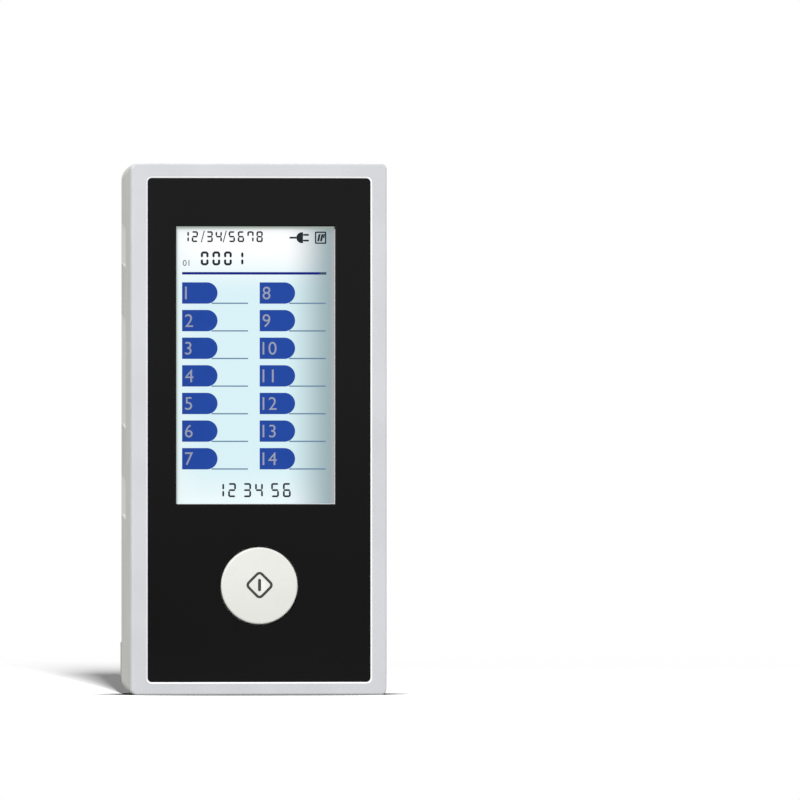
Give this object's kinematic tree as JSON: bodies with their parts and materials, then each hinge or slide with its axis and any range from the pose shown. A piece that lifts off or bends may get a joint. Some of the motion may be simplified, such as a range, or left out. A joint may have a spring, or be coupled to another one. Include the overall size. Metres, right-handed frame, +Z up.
{
  "type": "urine analyzer",
  "caption": "Handheld urine test strip reader: slim upright case, framed black panel with display and start button, motor-driven strip tray in the top end, battery cover in the back.",
  "frame": {"origin": "centre of the bottom end face, on which the unit stands", "axes": "+Z up along the length, front face with display towards -Y, +X to the viewer's right"},
  "size_m": [0.054, 0.029, 0.112],
  "materials": {
    "silver_plastic": "fine satin, cool silver grey",
    "black_panel": "high gloss black",
    "white_button": "satin white",
    "display_glass": "clear glass over a pale display",
    "light_guide": "clear acrylic, lit from one edge",
    "white_plastic": "moulded white",
    "white_tile": "matte calibrated white",
    "white_nylon": "natural acetal",
    "black_plastic": "moulded black",
    "dark_rubber": "layered conductive rubber",
    "green_board": "green solder mask on glass laminate",
    "grey_case": "fine texture, warm grey",
    "grey_rubber": "matte elastomer",
    "foil_pack": "foil pouch with a taped edge",
    "lead_wire": "silicone covered wire",
    "bright_steel": "bright plated",
    "steel_screw": "plated, cross recess",
    "brass_gear": "cut brass",
    "clear_lens": "clear optical plastic"
  },
  "bodies": {
    "case": {"front_frame": "silver_plastic", "front_panel": "black_panel", "tact_switch": "black_plastic", "display_glass": "display_glass", "display_backlight": "light_guide", "display_holder": "white_plastic", "display_connector_strip": "dark_rubber", "main_board": "green_board", "board_screws": "steel_screw", "board_chips": "black_plastic", "buzzer": "black_plastic", "clock_cell": "bright_steel", "clock_cell_clip": "bright_steel", "socket_shell": "bright_steel", "socket_tongue": "black_plastic", "pack_connector": "white_plastic", "rear_case": "grey_case", "case_screws": "steel_screw", "foot_bar": "grey_rubber", "foot_pads": "grey_rubber", "battery_pack": "foil_pack", "battery_leads": "lead_wire", "tray_guide": "black_plastic", "guide_screws": "steel_screw", "home_sensor": "black_plastic", "gear_axle": "bright_steel", "axle_clip": "bright_steel", "motor": "bright_steel", "motor_clamp": "bright_steel", "motor_screws": "steel_screw", "head_housing": "black_plastic", "head_lens": "clear_lens", "head_board": "green_board", "head_leds": "clear_lens", "colour_sensor": "black_plastic", "head_pins": "bright_steel", "head_screws": "steel_screw"},
    "tray": {"strip_tray": "white_plastic", "tray_cap": "grey_case", "reference_tile": "white_tile"},
    "drive_gear": {"drive_gear": "white_nylon"},
    "motor_rotor": {"motor_pinion": "brass_gear", "motor_shaft": "bright_steel"},
    "button": {"start_button": "white_button", "tact_plunger": "black_plastic"},
    "battery_door": {"battery_cover": "grey_case"}
  },
  "joints": [
    {"name": "tray_slide", "type": "slide", "parent": "case", "child": "tray", "axis": [0, 0, 1], "range_m": [0, 0.078]},
    {"name": "drive_gear_spin", "type": "hinge", "parent": "case", "child": "drive_gear", "pos_m": [0.0105, 0, 0.098], "axis": [0, 1, 0], "range_deg": [0, 1277.4]},
    {"name": "motor_spin", "type": "hinge", "parent": "case", "child": "motor_rotor", "pos_m": [0.019, 0, 0.08953], "axis": [0, 1, 0], "range_deg": [-3834.1, 0]},
    {"name": "button_press", "type": "slide", "parent": "case", "child": "button", "axis": [0, 1, 0], "range_m": [0, 0.0005], "stiffness_N_per_m": 1500},
    {"name": "battery_door_hinge", "type": "hinge", "parent": "case", "child": "battery_door", "pos_m": [0, 0.01213, 0.01632], "axis": [-1, 0, 0], "range_deg": [0, 70]}
  ],
  "couplings": [
    {"joint": "drive_gear_spin", "follows": "tray_slide", "rad_per_m": 285.71},
    {"joint": "motor_spin", "follows": "tray_slide", "rad_per_m": -857.14}
  ]
}
